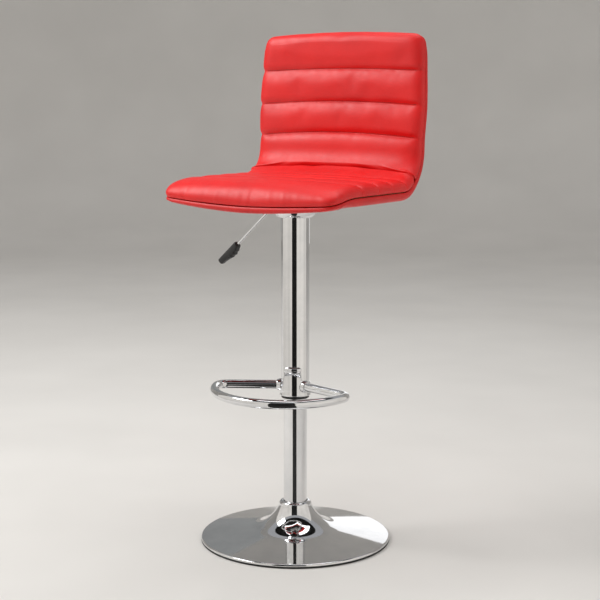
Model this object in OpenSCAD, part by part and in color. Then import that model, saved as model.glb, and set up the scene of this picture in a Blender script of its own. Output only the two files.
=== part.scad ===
// Adjustable swivel bar stool: pressed trumpet base, gas lift, footrest ring, padded seat and back.
// Millimetres, +Z up. The origin is on the floor under the column, and the seat faces -Y.
// The stool is drawn with its lift fully raised.

/* [Overall] */
// Height of the sitting surface with the lift raised
seat_top = 780; // [700:5:940]
// Height of the back's top edge above the sitting surface
back_rise = 304; // [220:2:370]
// Travel of the gas lift
lift_stroke = 205; // [165:5:250]

/* [Base] */
// Diameter of the trumpet base
base_d = 405; // [330:5:490]
// Height of the base's neck
base_h = 84; // [74:1:100]
// Thickness of the pressed sheet in the base
base_sheet = 1.6; // [1.2:0.1:2.5]
// Radius of the concave flare between neck and cone
flare_r = 80; // [60:1:95]
// Slope of the base's outer cone
cone_angle = 9; // [6:0.5:12]
// Height of the rubber ring under the rim
ring_h = 3.4; // [2.5:0.1:6]

/* [Column] */
// Outer diameter of the standing tube
tube_d = 50; // [42:1:54]
// Outer diameter of the shroud tube
shroud_d = 60; // [58:1:72]
// Wall of both column tubes
tube_wall = 1.5; // [1.2:0.1:2]
// Outer diameter of the gas cylinder
cylinder_d = 28; // [26:1:32]
// Diameter of the piston rod
rod_d = 10; // [8:1:12]
// Height of the column left bare above the neck when lowered
bare_column = 21; // [10:1:60]

/* [Footrest] */
// Diameter of the footrest tube
foot_tube_d = 19; // [16:1:25]
// Radius of the footrest's front arc, to the tube's centre line
foot_arc_r = 150; // [120:1:180]
// Distance of that arc's centre in front of the column
foot_arc_y = 46; // [30:1:60]
// Radius of the footrest's two corners
foot_corner_r = 24; // [18:1:35]
// Forward sweep of the footrest's arms
foot_sweep = 22.5; // [10:0.5:30]
// Height of the footrest above the shroud's lower edge
foot_rise = 27; // [24:1:40]
// Turn of the shroud and footrest from the seat's heading, as they stand
foot_turn = 10.5; // [0:0.5:30]
// Turn of the saddle's tongue from the footrest's heading
tongue_turn = 15; // [0:1:20]

/* [Seat] */
// Width of the seat
seat_w = 436; // [360:2:530]
// Distance from the column to the seat's front edge
seat_front = 188; // [160:2:226]
// Thickness of foam and front cover
pad_t = 24; // [18:1:30]
// Thickness of the bent plywood shell
ply_t = 9; // [7:0.5:13]
// Thickness of the padded outer cover
cover_t = 5; // [4:0.5:8]
// Extra depth of the padded border under the seat
border_t = 10; // [4:1:14]
// Inner radius of the bend between seat and back
bend_r = 58; // [45:1:80]
// Distance from the column to that bend's centre
bend_y = 92; // [85:1:120]
// Lean of the back
back_lean = 4; // [0:0.5:8]
// Width that the back loses on each side towards its top
back_taper = 9; // [0:1:20]

/* [Lever] */
// Distance from the column to the lever's pivot
pivot_x = 36; // [30:1:40]
// Reach of the lever from its pivot to the handle's tip
lever_len = 221; // [180:1:260]
// Droop of the lever below level
lever_droop = 42.5; // [30:0.5:50]
// Length of the handle
handle_len = 64; // [50:1:80]

/* [Hidden] */
$fn = 96;
e = 0.01;                 // overshoot of cuts
clear = 0.3;              // gap between parts that move past each other
fit = 0.05;               // radial running fit of shaft and bore
seated = 0.05;            // radial gap of parts fixed in one another

// ---- heights, from the floor up ----
ballast_z = 4;
ballast_t = 12;
hub_z = ballast_z + ballast_t;
plug_z = hub_z + 2;
plug_t = 8;
race_t = 2.5;
ball_r = 1.75;
lower_race_z = plug_z + plug_t;
ball_z = lower_race_z + race_t + fit + ball_r;
upper_race_z = ball_z + ball_r + fit;
bumper_z = upper_race_z + race_t;
bumper_h = 27;
cylinder_z = bumper_z + bumper_h + 0.5 + lift_stroke;
piston_z = cylinder_z + 27;
piston_t = 14;
nut_t = 5;

// ---- heights, from the seat down ----
shell_bottom = seat_top - pad_t - ply_t;
dust_t = 1.1;
plate_t = 3;
plate_z = shell_bottom - dust_t - 0.1 - plate_t;
housing_h = 28;
housing_z = plate_z - housing_h;
bell_h = 20;
bell_r = 14;
bell_z = housing_z - bell_h;
pivot_z = plate_z - 8;
paddle_z = pivot_z - 0.7;
button_h = 3.7;
button_z = paddle_z - clear - button_h;
valve_travel = 4;
cylinder_top = button_z - valve_travel - clear;
socket_z = bell_z + 1;
top_ring_h = 10;
top_ring_z = socket_z - clear - top_ring_h;
shroud_top = bell_z + 6;
shroud_z = base_h + lift_stroke + bare_column;
slide_lip = 6;
slide_len = 30;
bush_top = top_ring_z - lift_stroke - 4;
bush_flange = 3;
bush_len = 77;
tube_top = bush_top - bush_flange;

// ---- radii ----
tube_r = tube_d / 2;
tube_bore = tube_r - tube_wall;
shroud_r = shroud_d / 2;
shroud_bore = shroud_r - tube_wall;
cylinder_r = cylinder_d / 2;
cylinder_bore = cylinder_r - 1.5;
rod_r = rod_d / 2;
taper_drop = 0.8;         // loss of radius over the cylinder's taper
socket_r = cylinder_r + 6;

// ---- base profile ----
rim_r = base_d / 2;
rim_z = ring_h + 0.1;
lip_r = 8;
lip_z = base_h - lip_r;
cone_r = rim_r - 3.5;
cone_z = rim_z + 5.5;
flare_x = tube_r + 5 + flare_r;
flare_end_x = flare_x - flare_r * sin(cone_angle);
flare_z = cone_z + (cone_r - flare_end_x) * tan(cone_angle) + flare_r * cos(cone_angle);
flare_start = asin((flare_z - lip_z) / flare_r);
lip_x = flare_x - flare_r * cos(flare_start) - lip_r;

// ---- footrest plan, with +Y as forward until it is placed ----
foot_root = [shroud_r + 2, 14];
foot_dir = [cos(foot_sweep), sin(foot_sweep)];
foot_side = [-sin(foot_sweep), cos(foot_sweep)];
foot_from = foot_root + foot_corner_r * foot_side - [0, foot_arc_y];
foot_b = foot_from * foot_dir;
foot_c = foot_from * foot_from - (foot_arc_r - foot_corner_r) * (foot_arc_r - foot_corner_r);
foot_arm = -foot_b + sqrt(foot_b * foot_b - foot_c);
foot_corner = foot_root + foot_arm * foot_dir + foot_corner_r * foot_side;
foot_meet = atan2(foot_corner.y - foot_arc_y, foot_corner.x);
foot_z = shroud_z + foot_rise;
collar_t = 2.2;
collar_z = shroud_z + slide_lip + 0.3;
tongue_h = 57;

// ---- seat profile ----
half_w = seat_w / 2;
fall_r = 277;             // radius of the waterfall front, on the sitting surface
fall_y = seat_front - 98; // where the waterfall starts
fall_angle = 27;
crease_angle = 45;
back_top = seat_top + back_rise;
corner_r = 30;            // plan radius of the seat's front corners
bow = 14;                 // bow of the front edge
crown = 10;               // rise of the back's top edge at its middle
top_corner_r = 24;
shell_inset = 7;
all_t = pad_t + ply_t + cover_t;
window_x = half_w - 32;
window_front = seat_front - 34;
window_rear = bend_y - 6;
screw_x = 75;
screw_y = 62;

// ---- helpers ----
function arc(c, r, a0, a1, n = 10) = [for (i = [0:n]) let (a = a0 + (a1 - a0) * i / n)
    [c.x + r * cos(a), c.y + r * sin(a)]];
function flip(pts) = [for (i = [len(pts) - 1:-1:0]) pts[i]];
function mirrored(pts) = concat(pts, [for (p = flip(pts)) [-p.x, p.y]]);
function rounded_box(w, d, r) = concat(
    arc([w / 2 - r, d / 2 - r], r, 0, 90, 6), arc([-w / 2 + r, d / 2 - r], r, 90, 180, 6),
    arc([-w / 2 + r, -d / 2 + r], r, 180, 270, 6), arc([w / 2 - r, -d / 2 + r], r, 270, 360, 6));

module pipe(outer, inner, h) {
    difference() {
        cylinder(r = outer, h = h);
        translate([0, 0, -e]) cylinder(r = inner, h = h + 2 * e);
    }
}

module at_corners(dx, dy) {
    for (sx = [-1, 1], sy = [-1, 1]) translate([sx * dx, sy * dy, 0]) children();
}

// ---- base ----
module floor_ring() {
    color("black") rotate_extrude() polygon([
        [rim_r - 14, 0], [rim_r - 0.8, 0], [rim_r - 0.3, 0.5], [rim_r - 0.3, ring_h],
        [rim_r - base_sheet - 0.6, ring_h], [rim_r - base_sheet - 0.6, ring_h + 1.6], [rim_r - 14, ring_h + 1.6]]);
}

function trumpet(t) = concat(
    arc([lip_x, lip_z], lip_r - t, 98, 0),
    arc([flare_x, flare_z], flare_r + t, 180 + flare_start, 270 - cone_angle, 16),
    arc([cone_r - 0.5, cone_z - 4.3], 4.3 - t, 90 - cone_angle, 0, 6));

module base_plate() {
    color("gainsboro") rotate_extrude() polygon(concat(
        trumpet(0), [[rim_r - 0.2, rim_z]], [[rim_r - 0.2 - base_sheet, rim_z]], flip(trumpet(base_sheet))));
}

module ballast_plate() {
    color("dimgray") translate([0, 0, ballast_z]) difference() {
        pipe(base_d * 0.31, 18, ballast_t - seated);
        for (a = [0:120:359]) rotate(a) translate([40, 0, -e]) {
            cylinder(r = 3.3, h = ballast_t + 2 * e);
            cylinder(r = 6.2, h = 4.2);
        }
    }
}

module base_hub() {
    color("dimgray") difference() {
        translate([0, 0, hub_z]) union() {
            cylinder(r = 49, h = 6);
            cylinder(r = tube_r + 4, h = 54);
        }
        translate([0, 0, hub_z - e]) cylinder(r = tube_r + seated, h = 54 + 2 * e);
        for (a = [0:120:359]) rotate(a) translate([40, 0, hub_z - e]) cylinder(r = 3 + seated, h = 6 + 2 * e);
    }
}

module hub_screws() {
    color("silver") for (a = [0:120:359]) rotate(a) translate([40, 0, ballast_z + 0.1]) {
        cylinder(r = 6, h = 4);
        cylinder(r = 3, h = 17.5);
    }
}

module standing_tube() {
    color("gainsboro") translate([0, 0, hub_z]) pipe(tube_r, tube_bore, tube_top - hub_z);
}

module foot_plug() {
    color("dimgray") translate([0, 0, plug_z]) pipe(tube_bore - seated, rod_r + 1.2, plug_t);
}

module lower_race() {
    color("silver") translate([0, 0, lower_race_z]) pipe(14, rod_r + 1.5, race_t);
}

module guide_bush() {
    color("ivory") translate([0, 0, tube_top - bush_len]) difference() {
        union() {
            cylinder(r = tube_bore - seated, h = bush_len);
            translate([0, 0, bush_len]) cylinder(r = tube_r, h = bush_flange);
        }
        translate([0, 0, -e]) cylinder(r = cylinder_r + fit, h = bush_len + bush_flange + 2 * e);
    }
}

// ---- thrust bearing cage ----
ball_ring = (rod_r + 14) / 2 + 0.4;
module ball_cage() {
    color("goldenrod") translate([0, 0, ball_z - 0.9]) difference() {
        pipe(13.6, rod_r + 1, 1.8);
        for (a = [0:45:359]) rotate(a) translate([ball_ring, 0, -e]) cylinder(r = ball_r + 0.15, h = 2);
    }
}

module bearing_balls() {
    color("silver") for (a = [0:45:359]) rotate(a) translate([ball_ring, 0, ball_z]) sphere(r = ball_r);
}

// ---- piston rod and what turns with it ----
rod_z = plug_z - clear - 7;
module piston_rod() {
    color("silver") translate([0, 0, rod_z]) difference() {
        cylinder(r = rod_r, h = piston_z + piston_t + nut_t - rod_z);
        translate([0, 0, 2.5]) pipe(rod_r + 1, rod_r - 1, 1.6);
    }
}

module upper_race() {
    color("silver") translate([0, 0, upper_race_z]) pipe(14, rod_r + seated, race_t);
}

module rubber_bumper() {
    color("black") translate([0, 0, bumper_z]) difference() {
        union() {
            cylinder(r = 11, h = 9);
            translate([0, 0, 9]) cylinder(r1 = 11, r2 = 8.5, h = 3);
            translate([0, 0, 12]) cylinder(r1 = 8.5, r2 = 11, h = 3);
            translate([0, 0, 15]) cylinder(r = 11, h = bumper_h - 15);
        }
        translate([0, 0, -e]) cylinder(r = rod_r + seated, h = bumper_h + 2 * e);
    }
}

module piston() {
    color("goldenrod") translate([0, 0, piston_z]) difference() {
        pipe(cylinder_bore - fit, rod_r + seated, piston_t);
        translate([0, 0, 5]) pipe(cylinder_bore + 1, cylinder_bore - 2.5, 4);
    }
}

module piston_seal() {
    color("black") translate([0, 0, piston_z + 5.2]) pipe(cylinder_bore - fit, cylinder_bore - 2.4, 3.6);
}

module piston_nut() {
    color("silver") translate([0, 0, piston_z + piston_t]) difference() {
        cylinder(r = rod_r + 4, h = nut_t - 1, $fn = 6);
        translate([0, 0, -e]) cylinder(r = rod_r + seated, h = nut_t);
    }
}

module clip_washer() {
    color("silver") translate([0, 0, plug_z - clear - 2]) pipe(11, rod_r + seated, 2);
}

module retaining_clip() {
    color("dimgray") translate([0, 0, rod_z + 2.6]) difference() {
        pipe(rod_r + 2.5, rod_r - 1 + seated, 1.4);
        translate([0, -rod_r - 3, 0.7]) cube([4, 8, 3], center = true);
    }
}

// ---- gas cylinder and seat mechanism ----
module taper(grow) {
    translate([0, 0, socket_z]) cylinder(
        r1 = cylinder_r + grow, r2 = cylinder_r - taper_drop + grow, h = cylinder_top - socket_z);
}

module gas_cylinder() {
    color("dimgray") difference() {
        union() {
            translate([0, 0, cylinder_z]) cylinder(r = cylinder_r, h = socket_z - cylinder_z);
            taper(0);
        }
        translate([0, 0, cylinder_z - e]) cylinder(r = cylinder_bore - 1.5, h = cylinder_top - cylinder_z + 2 * e);
        translate([0, 0, cylinder_z + 1.5]) cylinder(r = cylinder_bore, h = cylinder_top - cylinder_z - 4);
    }
}

module rod_guide() {
    color("goldenrod") translate([0, 0, cylinder_z + 1.7]) pipe(cylinder_bore - seated, rod_r + fit, 17);
}

module rod_seal() {
    color("black") translate([0, 0, cylinder_z + 19]) pipe(cylinder_bore - seated, rod_r + fit, 6);
}

valve_h = 26;
module valve_body() {
    color("goldenrod") translate([0, 0, cylinder_top - 3 - valve_h]) difference() {
        union() {
            cylinder(r = cylinder_bore - seated, h = valve_h);
            cylinder(r = cylinder_bore - 1.6, h = valve_h + 2.5);
        }
        translate([0, 0, 6]) cylinder(r = 2 + fit, h = valve_h);
    }
}

module valve_pin() {
    color("silver") {
        translate([0, 0, button_z - 22]) cylinder(r = 2, h = 22 + e);
        intersection() {
            translate([0, 0, button_z]) cylinder(r = 4, h = button_h);
            translate([0, 0, button_z + button_h - 8]) sphere(r = 8);
        }
    }
}

module taper_socket() {
    color("dimgray") difference() {
        translate([0, 0, socket_z]) cylinder(r = socket_r, h = cylinder_top + 2 - socket_z);
        taper(seated);
        translate([0, 0, cylinder_top - e]) cylinder(r = cylinder_r - taper_drop + seated, h = 3);
    }
}

housing_w = 104;
housing_d = 100;
module seat_bracket_housing() {
    color("silver") translate([0, 0, housing_z]) difference() {
        linear_extrude(housing_h - seated) polygon(rounded_box(housing_w, housing_d, 14));
        translate([0, 0, 2]) linear_extrude(housing_h) polygon(rounded_box(housing_w - 4, housing_d - 4, 12));
        translate([0, 0, -e]) cylinder(r = socket_r + seated, h = 3);
        translate([-housing_w / 2, 0, 11]) cube([24, 16, 24], center = true);
    }
}

module seat_plate() {
    color("silver") translate([0, 0, plate_z]) difference() {
        linear_extrude(plate_t) polygon(rounded_box(190, 160, 16));
        at_corners(screw_x, screw_y) translate([0, 0, -e]) cylinder(r = 3.3, h = plate_t + 2 * e);
    }
}

module lever_bracket() {
    color("silver") translate([-pivot_x, 0, 0]) difference() {
        union() {
            translate([-8, -8, plate_z - 1.6]) cube([16, 16, 1.6 - seated]);
            for (y = [-8, 6]) translate([-8, y, pivot_z - 5]) cube([16, 2, plate_z - pivot_z + 5 - 1.5]);
        }
        translate([0, 10, pivot_z]) rotate([90, 0, 0]) cylinder(r = 2 + seated, h = 20);
    }
}

module lever_pin() {
    color("dimgray") translate([-pivot_x, 0, pivot_z]) rotate([90, 0, 0]) {
        translate([0, 0, -9.5]) cylinder(r = 2, h = 19);
        translate([0, 0, 8.2]) cylinder(r = 3.2, h = 1.3);
    }
}

// Cup-shaped cover that closes the shroud's top under the seat mechanism.
function bell_line(t) = concat(
    arc([shroud_r + clear, bell_z + bell_r], bell_r - t, -88, 0, 8), [[shroud_r + clear + bell_r - t, bell_z + bell_h]]);
module column_bell() {
    color("gainsboro") rotate_extrude() polygon(concat(bell_line(0), flip(bell_line(1.2))));
}

module plate_screws() {
    color("silver") at_corners(screw_x, screw_y) {
        translate([0, 0, plate_z - 3.6]) cylinder(r = 6, h = 3.5);
        translate([0, 0, plate_z - 1]) cylinder(r = 3, h = 13);
    }
}

module tee_nuts() {
    color("silver") at_corners(screw_x, screw_y) translate([0, 0, shell_bottom]) {
        translate([0, 0, ply_t - 1.3]) pipe(9, 3 + seated, 1.2);
        translate([0, 0, 1]) pipe(4.2, 3 + seated, ply_t - 2);
    }
}

// ---- lever ----
module on_lever() {
    translate([-pivot_x, 0, pivot_z]) rotate([0, -lever_droop, 0]) children();
}

module lever_rod() {
    color("gainsboro") difference() {
        union() {
            translate([-pivot_x, 5.6, pivot_z]) rotate([90, 0, 0]) cylinder(r = 5.5, h = 11.2);
            translate([-pivot_x, -5, paddle_z]) cube([pivot_x + 6, 10, 3]);
            on_lever() rotate([0, -90, 0]) cylinder(r = 3, h = lever_len - 10);
        }
        translate([-pivot_x, 8, pivot_z]) rotate([90, 0, 0]) cylinder(r = 2 + fit, h = 16);
    }
}

// Side outline of the handle: a straight back and a belly with finger ribs.
function belly(u) = 6.5 + 6.5 * pow(sin(180 * pow(u, 1.5)), 1.3) + (u > 0.45 && u < 0.85 ? 0.8 * sin(2250 * u) : 0);
module lever_handle() {
    color("black") on_lever() difference() {
        translate([-lever_len, 9, 0]) rotate([90, 0, 0]) linear_extrude(18) polygon(concat(
            [[handle_len, 7], [1.5, 7], [0, 5]],
            [for (i = [0:32]) let (u = 1 - i / 32) [0.6 + (1 - u) * (handle_len - 0.6), -belly(u)]]));
        rotate([0, -90, 0]) cylinder(r = 3 + seated, h = lever_len - 10 + seated);
    }
}

// ---- seat and back ----
// Side outline of a layer, t below the sitting surface. +X of the outline is the stool's +Y.
function fall_line(t) = arc([-fall_y, seat_top - fall_r], fall_r - t, 90 + fall_angle, 90, 6);
function bend_line(t, a0, a1) = arc([bend_y, seat_top + bend_r], bend_r + t, 270 + a0, 270 + a1, 8);
function rise_point(t) = [
    bend_y + (bend_r + t) * cos(back_lean) + (back_rise + 20) * sin(back_lean),
    seat_top + bend_r - (bend_r + t) * sin(back_lean) + (back_rise + 20) * cos(back_lean)];
function low_line(t) = concat(fall_line(t), bend_line(t, 0, crease_angle));
function high_line(t, start) = concat(bend_line(t, start, 90 - back_lean), [rise_point(t)]);
function full_line(t) = concat(fall_line(t), bend_line(t, 0, crease_angle), high_line(t, crease_angle + 2));

// Outline of the cover's outer face: border_t deeper under the seat, and easing off round the bend.
function cover_line(t) = concat(fall_line(t + border_t), [for (a = [0:10:80]) [
    bend_y + (bend_r + t) * sin(a), seat_top + bend_r - (bend_r + t + border_t) * cos(a)]], [rise_point(t)]);

module layer(outer, inner, inset) {
    intersection() {
        rotate([90, 0, 90]) linear_extrude(seat_w, center = true) polygon(concat(outer, flip(inner)));
        envelope(inset);
    }
}

// Plan outline of the seat and front outline of the back, both pulled in by inset.
module envelope(inset) {
    w = half_w - inset;
    front = seat_front - inset;
    r = corner_r - inset;
    side = [w - r, -(front - bow - r)];
    top = back_top - inset;
    w_top = w - back_taper;
    tc = top_corner_r;
    intersection() {
        translate([0, 0, seat_top - 120]) linear_extrude(back_rise + 200) polygon(mirrored(concat(
            [[w, bend_y + 160]], arc(side, r, 0, -76, 8), [for (x = [150, 100, 50]) [x, -front + bow * x * x / w / w]])));
        translate([0, 300, 0]) rotate([90, 0, 0]) linear_extrude(600) polygon(mirrored(concat(
            [[w, seat_top - 120], [w, seat_top + 60]],
            arc([w_top - tc, top - crown - tc], tc, 0, 84, 8),
            [for (x = [150, 100, 50]) [x, top - crown * x * x / w / w]])));
    }
}

module seat_shell() {
    color("burlywood") difference() {
        layer(full_line(pad_t + 0.1), full_line(pad_t + ply_t), shell_inset + 0.2);
        at_corners(screw_x, screw_y) {
            translate([0, 0, shell_bottom - 1]) cylinder(r = 4.3, h = ply_t + 2);
            translate([0, 0, shell_bottom + ply_t - 1.4]) cylinder(r = 9.2, h = 3);
        }
    }
}

module seat_pad() {
    color("crimson") layer(low_line(0), low_line(pad_t), 0);
}

module back_pad() {
    color("crimson") layer(high_line(0, crease_angle + 0.2), high_line(pad_t, crease_angle + 0.2), 0);
}

module window(gap) {
    translate([-window_x + gap, -window_front + gap, shell_bottom - 40])
        cube([2 * (window_x - gap), window_front + window_rear - 2 * gap, 60]);
}

module outer_cover() {
    color("firebrick") difference() {
        layer(full_line(pad_t + 0.1), cover_line(all_t), 0);
        layer(full_line(pad_t - 4), full_line(pad_t + ply_t + 0.1), shell_inset);
        window(0);
    }
}

module dust_cover() {
    color("black") difference() {
        intersection() {
            layer(full_line(pad_t + ply_t + 0.05), full_line(pad_t + ply_t + dust_t), shell_inset);
            window(0.3);
        }
        at_corners(screw_x, screw_y) translate([0, 0, shell_bottom - 5]) cylinder(r = 4.5, h = 8);
    }
}

// ---- shroud and footrest, turned as they stand ----
module turned() {
    rotate([0, 0, foot_turn]) children();
}

module shroud_tube() {
    color("gainsboro") translate([0, 0, shroud_z + slide_lip]) pipe(
        shroud_r, shroud_bore, shroud_top - shroud_z - slide_lip);
}

module shroud_top_ring() {
    color("ivory") translate([0, 0, top_ring_z]) pipe(shroud_bore - seated, cylinder_r + fit, top_ring_h);
}

module slide_ring() {
    color("black") translate([0, 0, shroud_z]) difference() {
        union() {
            cylinder(r1 = shroud_r - 1, r2 = shroud_r, h = 1);
            translate([0, 0, 1]) cylinder(r = shroud_r, h = slide_lip - 1 - seated);
            cylinder(r = shroud_bore - seated, h = slide_lip + slide_len);
        }
        translate([0, 0, -e]) cylinder(r = tube_r + fit, h = slide_lip + slide_len + 2 * e);
    }
}

module arm_line(r, from, to) {
    for (s = [0, 1]) mirror([s, 0, 0])
        translate([foot_root.x, -foot_root.y, foot_z]) rotate([0, 0, -foot_sweep])
            translate([from, 0, 0]) rotate([0, 90, 0]) cylinder(r = r, h = to - from);
}

// The footrest bar: a bent tube of two arms, two corner bends and one front arc.
bar_wall = 1.5;
bend_draw = 0.05;         // bending draws the corners this much thinner
bend_lap = 1;             // degrees that a corner bend runs into its neighbours
module bar_section(draw) {
    difference() {
        circle(r = foot_tube_d / 2 - draw);
        circle(r = foot_tube_d / 2 - bar_wall + draw);
    }
}

module footrest_ring() {
    color("gainsboro") turned() {
        difference() {
            arm_line(foot_tube_d / 2, 0, foot_arm);
            arm_line(foot_tube_d / 2 - bar_wall, -1, foot_arm + 1);
        }
        for (s = [0, 1]) mirror([s, 0, 0]) translate([foot_corner.x, -foot_corner.y, foot_z])
            rotate([0, 0, -foot_meet - bend_lap])
                rotate_extrude(angle = 90 - foot_sweep + foot_meet + 2 * bend_lap)
                    translate([foot_corner_r, 0]) bar_section(bend_draw);
        translate([0, -foot_arc_y, foot_z]) rotate([0, 0, 180 + foot_meet])
            rotate_extrude(angle = 180 - 2 * foot_meet) translate([foot_arc_r, 0]) bar_section(0);
    }
}

// The saddle: a skirt that widens downwards round the shroud's front, a rolled lip on top,
// a socket for each arm and a band round the back.
lip_turn = 33;            // the rolled lip reaches this many degrees each way from the front
roll_r = 4;
module footrest_collar() {
    outer = shroud_r + collar_t;
    color("gainsboro") turned() difference() {
        union() {
            intersection() {
                translate([0, 0, collar_z]) cylinder(r = outer, h = tongue_h);
                translate([0, 0, collar_z]) rotate([0, 0, tongue_turn]) rotate([90, 0, 0]) linear_extrude(outer + 1) polygon(mirrored([
                    [outer, 0], [outer, 7], [22, 24], [19, 38], [17.5, tongue_h]]));
            }
            intersection() {
                translate([0, 0, collar_z]) cylinder(r = outer, h = 26);
                translate([-outer, -1, collar_z]) cube([2 * outer, outer + 1, 26]);
            }
            translate([0, 0, collar_z + tongue_h]) rotate([0, 0, 270 + tongue_turn - lip_turn])
                rotate_extrude(angle = 2 * lip_turn) translate([shroud_r + roll_r + 0.3, 0]) circle(r = roll_r);
            arm_line(foot_tube_d / 2 + 2, -8, 7);
        }
        translate([0, 0, collar_z - 20]) cylinder(r = shroud_r + seated, h = tongue_h + 40);
        arm_line(foot_tube_d / 2 + seated, -1, 20);
    }
}

module collar_screws() {
    color("silver") turned() for (a = [60, 120]) rotate([0, 0, a])
        translate([shroud_r + collar_t + 0.1, 0, collar_z + 13]) rotate([0, 90, 0]) cylinder(r = 4, h = 2.4);
}

floor_ring();
base_plate();
ballast_plate();
base_hub();
hub_screws();
standing_tube();
foot_plug();
lower_race();
guide_bush();
ball_cage();
bearing_balls();
piston_rod();
upper_race();
rubber_bumper();
piston();
piston_seal();
piston_nut();
clip_washer();
retaining_clip();
gas_cylinder();
rod_guide();
rod_seal();
valve_body();
taper_socket();
seat_bracket_housing();
seat_plate();
lever_bracket();
lever_pin();
column_bell();
plate_screws();
tee_nuts();
seat_shell();
seat_pad();
back_pad();
outer_cover();
dust_cover();
shroud_tube();
shroud_top_ring();
slide_ring();
footrest_collar();
footrest_ring();
collar_screws();
lever_rod();
lever_handle();
valve_pin();
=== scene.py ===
"""Looks of the adjustable swivel bar stool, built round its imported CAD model. Metres, +Z up."""

import bpy
import math
import numpy as np
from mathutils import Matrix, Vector, noise
from mathutils.bvhtree import BVHTree


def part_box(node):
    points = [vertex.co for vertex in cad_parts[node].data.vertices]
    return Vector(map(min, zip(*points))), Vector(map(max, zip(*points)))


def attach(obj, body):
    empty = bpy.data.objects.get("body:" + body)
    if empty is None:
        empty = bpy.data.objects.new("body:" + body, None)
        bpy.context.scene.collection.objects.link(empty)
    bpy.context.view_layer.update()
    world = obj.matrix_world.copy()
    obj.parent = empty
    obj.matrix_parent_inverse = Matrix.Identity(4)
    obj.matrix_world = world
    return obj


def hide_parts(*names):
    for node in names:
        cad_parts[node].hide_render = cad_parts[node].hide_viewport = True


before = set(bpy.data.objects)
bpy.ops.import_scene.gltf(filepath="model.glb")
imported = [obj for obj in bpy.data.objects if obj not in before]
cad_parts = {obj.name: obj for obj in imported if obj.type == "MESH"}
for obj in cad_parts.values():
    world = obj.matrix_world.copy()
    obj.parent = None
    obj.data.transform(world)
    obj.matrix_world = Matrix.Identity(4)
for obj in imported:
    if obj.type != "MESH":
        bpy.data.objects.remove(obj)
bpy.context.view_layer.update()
MM = 0.001

# ---------------------------------------------------------------- sizes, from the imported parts
pad_lo, pad_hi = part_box("seat_pad")
back_lo, back_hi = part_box("back_pad")
rim_lo, rim_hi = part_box("base_plate")
ring_lo, ring_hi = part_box("floor_ring")
tube_lo, tube_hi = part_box("standing_tube")
shroud_lo, shroud_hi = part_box("shroud_tube")
slide_lo, slide_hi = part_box("slide_ring")
bell_lo, bell_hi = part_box("column_bell")
bar_lo, bar_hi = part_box("footrest_ring")

HALF = pad_hi.x
FRONT_Y = pad_lo.y
TOP_Z = back_hi.z

# ---------------------------------------------------------------- plain mesh tools


def new_object(name, verts, faces, smooth=True):
    mesh = bpy.data.meshes.new(name)
    mesh.from_pydata([tuple(v) for v in verts], [], [tuple(f) for f in faces])
    mesh.update()
    if smooth:
        mesh.shade_smooth()
    made = bpy.data.objects.new(name, mesh)
    bpy.context.scene.collection.objects.link(made)
    return made


def apply_modifiers(piece):
    """Turns a piece's modifiers into plain mesh."""
    shown = piece.evaluated_get(bpy.context.evaluated_depsgraph_get())
    mesh = bpy.data.meshes.new_from_object(shown)
    piece.modifiers.clear()
    old, piece.data = piece.data, mesh
    bpy.data.meshes.remove(old)


def subdivide(piece, levels):
    step = piece.modifiers.new("smoothed", "SUBSURF")
    step.levels = step.render_levels = levels
    apply_modifiers(piece)
    piece.data.shade_smooth()


def strip(count, closed, a, b, flipped=False):
    """Faces between two rows of count points that start at a and b."""
    faces = []
    for i in range(count if closed else count - 1):
        j = (i + 1) % count
        face = (a + i, a + j, b + j, b + i)
        faces.append(face[::-1] if flipped else face)
    return faces


def braced(profile, gap=0.0004):
    """The outline with a point near both ends of each long edge, so that smooth shading keeps it straight."""
    out = []
    for a, b in zip(profile, profile[1:] + profile[:1]):
        a, b = Vector(a), Vector(b)
        out.append(a)
        if (b - a).length > 0.006:
            step = (b - a).normalized() * gap
            out += [a + step, b - step]
    return out


def lathe(name, profile, steps=128, closed=True):
    """Turns a closed outline of (radius, height) points round the column's axis."""
    if closed:
        profile = braced(profile)
    verts, faces = [], []
    for r, z in profile:
        for k in range(steps):
            a = 2 * math.pi * k / steps
            verts.append((r * math.cos(a), r * math.sin(a), z))
    rows = len(profile)
    for i in range(rows if closed else rows - 1):
        faces += strip(steps, True, i * steps, (i + 1) % rows * steps)
    return new_object(name, verts, faces)


def fillet(points, radii, steps=6):
    """Rounds the corners of a closed outline. radii holds one radius for each corner."""
    out = []
    count = len(points)
    for i, r in enumerate(radii):
        p, a, b = Vector(points[i]), Vector(points[i - 1]), Vector(points[(i + 1) % count])
        if r == 0:
            out.append(p[:])
            continue
        to_a, to_b = (a - p).normalized(), (b - p).normalized()
        half = to_a.angle(to_b) / 2
        back = min(r / math.tan(half), 0.49 * (a - p).length, 0.49 * (b - p).length)
        r = back * math.tan(half)
        middle = p + (to_a + to_b).normalized() * (r / math.sin(half))
        start, end = p + to_a * back - middle, p + to_b * back - middle
        turn = start.angle(end)
        for k in range(steps + 1):
            f = k / steps
            w = (math.sin((1 - f) * turn) * start + math.sin(f * turn) * end) / math.sin(turn)
            out.append((middle + w)[:])
    return out


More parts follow.
